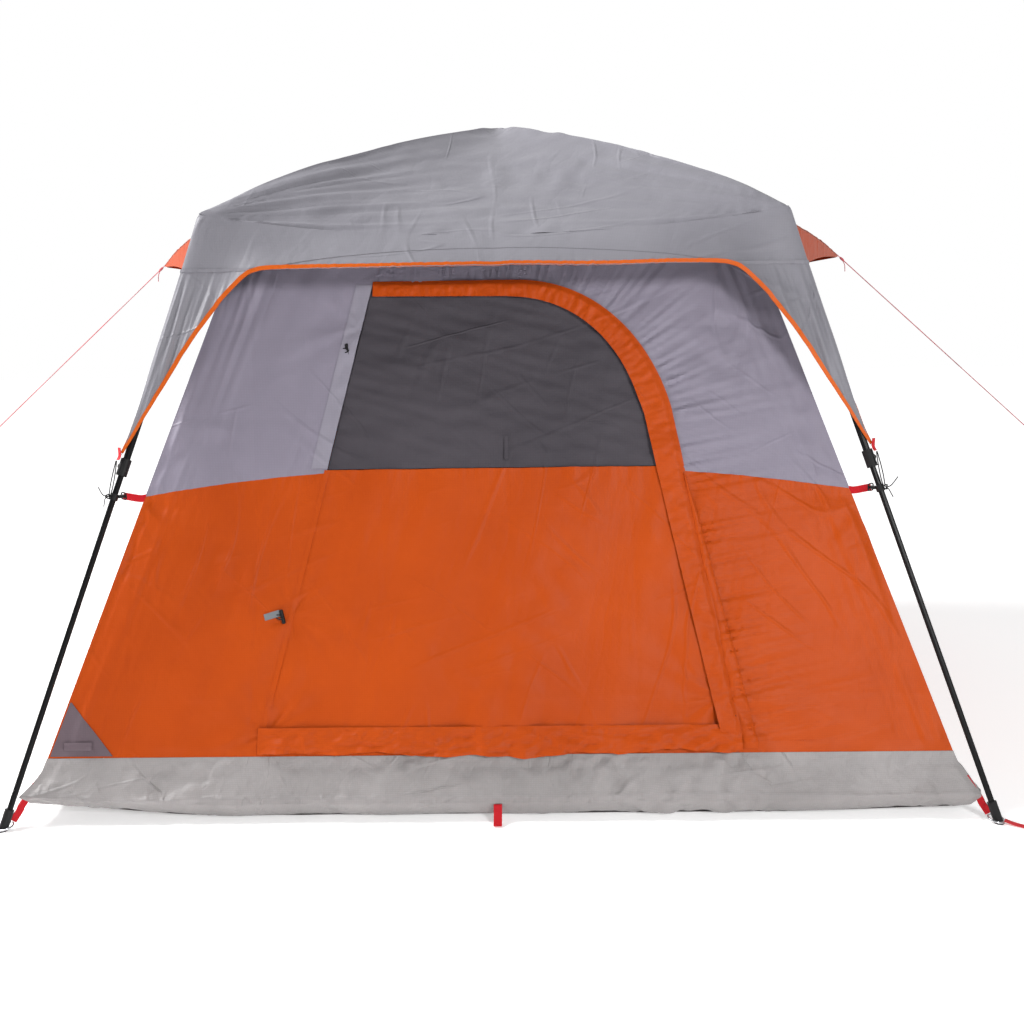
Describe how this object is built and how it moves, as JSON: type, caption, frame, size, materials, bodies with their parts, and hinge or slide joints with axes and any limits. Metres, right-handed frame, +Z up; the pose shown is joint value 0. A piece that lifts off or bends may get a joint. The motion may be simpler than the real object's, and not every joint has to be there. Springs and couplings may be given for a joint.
{
  "type": "pop-up cabin tent",
  "caption": "Cabin tent with a pop-up hub frame: telescoping outer legs, grey fly with visor and corner wings, zipped D-shaped door with mesh window",
  "frame": {"origin": "centre of the tent's footprint on the ground", "axes": "+Z up, the door faces -Y, +X to the right seen from the door side"},
  "size_m": [3.922, 2.625, 1.984],
  "materials": {
    "pole_black": "satin",
    "steel": "satin",
    "black_plastic": "matte",
    "fly_grey": "satin",
    "wall_fabric": "satin",
    "orange_fabric": "satin",
    "wall_grey": "satin",
    "mesh_dark": "matte",
    "floor_grey": "satin",
    "red_webbing": "matte",
    "red_cord": "matte",
    "black_cord": "matte"
  },
  "bodies": {
    "ground": {"floor_sheet": "floor_grey"},
    "hub": {"hub_hinge_ring": "steel", "hub_lower": "black_plastic", "hub_upper": "black_plastic"},
    "roof_front_left": {"roof_pole_front_left": "pole_black", "elbow_front_left": "black_plastic", "elbow_pin_front_left": "steel", "fly_roof_front_left": "fly_grey"},
    "leg_front_left": {"leg_upper_front_left": "pole_black", "leg_collar_front_left": "black_plastic", "pole_clip_front_left": "black_plastic", "fly_skirt_front_left": "fly_grey", "wall_front_left": "wall_fabric", "awning_left": "orange_fabric", "guy_line_left": "red_cord"},
    "foot_front_left": {"leg_lower_front_left": "pole_black", "foot_cap_front_left": "black_plastic"},
    "button_front_left": {"lock_button_front_left": "black_plastic"},
    "roof_front_right": {"roof_pole_front_right": "pole_black", "elbow_front_right": "black_plastic", "elbow_pin_front_right": "steel", "fly_roof_front_right": "fly_grey"},
    "leg_front_right": {"leg_upper_front_right": "pole_black", "leg_collar_front_right": "black_plastic", "pole_clip_front_right": "black_plastic", "fly_skirt_front_right": "fly_grey", "wall_front_right": "wall_fabric", "awning_right": "orange_fabric", "guy_line_right": "red_cord"},
    "foot_front_right": {"leg_lower_front_right": "pole_black", "foot_cap_front_right": "black_plastic"},
    "button_front_right": {"lock_button_front_right": "black_plastic"},
    "roof_back_left": {"roof_pole_back_left": "pole_black", "elbow_back_left": "black_plastic", "elbow_pin_back_left": "steel", "fly_roof_back_left": "fly_grey"},
    "leg_back_left": {"leg_upper_back_left": "pole_black", "leg_collar_back_left": "black_plastic", "pole_clip_back_left": "black_plastic", "fly_skirt_back_left": "fly_grey", "wall_back_left": "wall_fabric"},
    "foot_back_left": {"leg_lower_back_left": "pole_black", "foot_cap_back_left": "black_plastic"},
    "button_back_left": {"lock_button_back_left": "black_plastic"},
    "roof_back_right": {"roof_pole_back_right": "pole_black", "elbow_back_right": "black_plastic", "elbow_pin_back_right": "steel", "fly_roof_back_right": "fly_grey"},
    "leg_back_right": {"leg_upper_back_right": "pole_black", "leg_collar_back_right": "black_plastic", "pole_clip_back_right": "black_plastic", "fly_skirt_back_right": "fly_grey", "wall_back_right": "wall_fabric"},
    "foot_back_right": {"leg_lower_back_right": "pole_black", "foot_cap_back_right": "black_plastic"},
    "button_back_right": {"lock_button_back_right": "black_plastic"},
    "door": {"door_panel": "wall_fabric", "door_window": "mesh_dark"},
    "zip": {"zip_slider": "steel"}
  },
  "joints": [
    {"name": "hub_rise", "type": "slide", "parent": "ground", "child": "hub", "axis": [0, 0, 1], "range_m": [0, 0.96], "deforming": ["fly_roof_front_left", "fly_skirt_front_left", "wall_front_left", "fly_roof_front_right", "fly_skirt_front_right", "wall_front_right", "fly_roof_back_left", "fly_skirt_back_left", "wall_back_left", "fly_roof_back_right", "fly_skirt_back_right", "wall_back_right", "floor_sheet", "door_panel", "door_window", "awning_left", "awning_right", "guy_line_left", "guy_line_right"]},
    {"name": "roof_fold_front_left", "type": "hinge", "parent": "hub", "child": "roof_front_left", "pos_m": [-0.0297, -0.0297, 1.93], "axis": [0.7071, -0.7071, 0], "range_deg": [0, 68.2]},
    {"name": "leg_fold_front_left", "type": "hinge", "parent": "roof_front_left", "child": "leg_front_left", "pos_m": [-0.815, -0.815, 1.595], "axis": [0.7071, -0.7071, 0], "range_deg": [-42.6, 0]},
    {"name": "leg_slide_front_left", "type": "slide", "parent": "leg_front_left", "child": "foot_front_left", "axis": [0.2793, 0.2793, 0.9187], "range_m": [0, 0.6]},
    {"name": "button_press_front_left", "type": "slide", "parent": "leg_front_left", "child": "button_front_left", "axis": [0.7071, -0.7071, 0], "range_m": [0, 0.003], "stiffness_N_per_m": 600},
    {"name": "roof_fold_front_right", "type": "hinge", "parent": "hub", "child": "roof_front_right", "pos_m": [0.0297, -0.0297, 1.93], "axis": [0.7071, 0.7071, 0], "range_deg": [0, 68.2]},
    {"name": "leg_fold_front_right", "type": "hinge", "parent": "roof_front_right", "child": "leg_front_right", "pos_m": [0.815, -0.815, 1.595], "axis": [0.7071, 0.7071, 0], "range_deg": [-42.6, 0]},
    {"name": "leg_slide_front_right", "type": "slide", "parent": "leg_front_right", "child": "foot_front_right", "axis": [-0.2793, 0.2793, 0.9187], "range_m": [0, 0.6]},
    {"name": "button_press_front_right", "type": "slide", "parent": "leg_front_right", "child": "button_front_right", "axis": [-0.7071, -0.7071, 0], "range_m": [0, 0.003], "stiffness_N_per_m": 600},
    {"name": "roof_fold_back_left", "type": "hinge", "parent": "hub", "child": "roof_back_left", "pos_m": [-0.0297, 0.0297, 1.93], "axis": [-0.7071, -0.7071, 0], "range_deg": [0, 68.2]},
    {"name": "leg_fold_back_left", "type": "hinge", "parent": "roof_back_left", "child": "leg_back_left", "pos_m": [-0.815, 0.815, 1.595], "axis": [-0.7071, -0.7071, 0], "range_deg": [-42.6, 0]},
    {"name": "leg_slide_back_left", "type": "slide", "parent": "leg_back_left", "child": "foot_back_left", "axis": [0.2793, -0.2793, 0.9187], "range_m": [0, 0.6]},
    {"name": "button_press_back_left", "type": "slide", "parent": "leg_back_left", "child": "button_back_left", "axis": [0.7071, 0.7071, 0], "range_m": [0, 0.003], "stiffness_N_per_m": 600},
    {"name": "roof_fold_back_right", "type": "hinge", "parent": "hub", "child": "roof_back_right", "pos_m": [0.0297, 0.0297, 1.93], "axis": [-0.7071, 0.7071, 0], "range_deg": [0, 68.2]},
    {"name": "leg_fold_back_right", "type": "hinge", "parent": "roof_back_right", "child": "leg_back_right", "pos_m": [0.815, 0.815, 1.595], "axis": [-0.7071, 0.7071, 0], "range_deg": [-42.6, 0]},
    {"name": "leg_slide_back_right", "type": "slide", "parent": "leg_back_right", "child": "foot_back_right", "axis": [-0.2793, -0.2793, 0.9187], "range_m": [0, 0.6]},
    {"name": "button_press_back_right", "type": "slide", "parent": "leg_back_right", "child": "button_back_right", "axis": [-0.7071, 0.7071, 0], "range_m": [0, 0.003], "stiffness_N_per_m": 600},
    {"name": "door_swing", "type": "hinge", "parent": "leg_front_left", "child": "door", "pos_m": [-0.64, -1.19888, 0.19], "axis": [0.2177, 0.3136, 0.9242], "range_deg": [-100, 0]},
    {"name": "zip_slide", "type": "slide", "parent": "door", "child": "zip", "axis": [-0.1716, 0.3166, 0.9329], "range_m": [0, 0.75]}
  ],
  "couplings": [
    {"joint": "roof_fold_front_left", "follows": "hub_rise", "rad_per_m": 1.2363},
    {"joint": "leg_fold_front_left", "follows": "hub_rise", "rad_per_m": -0.76958},
    {"joint": "roof_fold_front_right", "follows": "hub_rise", "rad_per_m": 1.2363},
    {"joint": "leg_fold_front_right", "follows": "hub_rise", "rad_per_m": -0.76958},
    {"joint": "roof_fold_back_left", "follows": "hub_rise", "rad_per_m": 1.2363},
    {"joint": "leg_fold_back_left", "follows": "hub_rise", "rad_per_m": -0.76958},
    {"joint": "roof_fold_back_right", "follows": "hub_rise", "rad_per_m": 1.2363},
    {"joint": "leg_fold_back_right", "follows": "hub_rise", "rad_per_m": -0.76958}
  ]
}
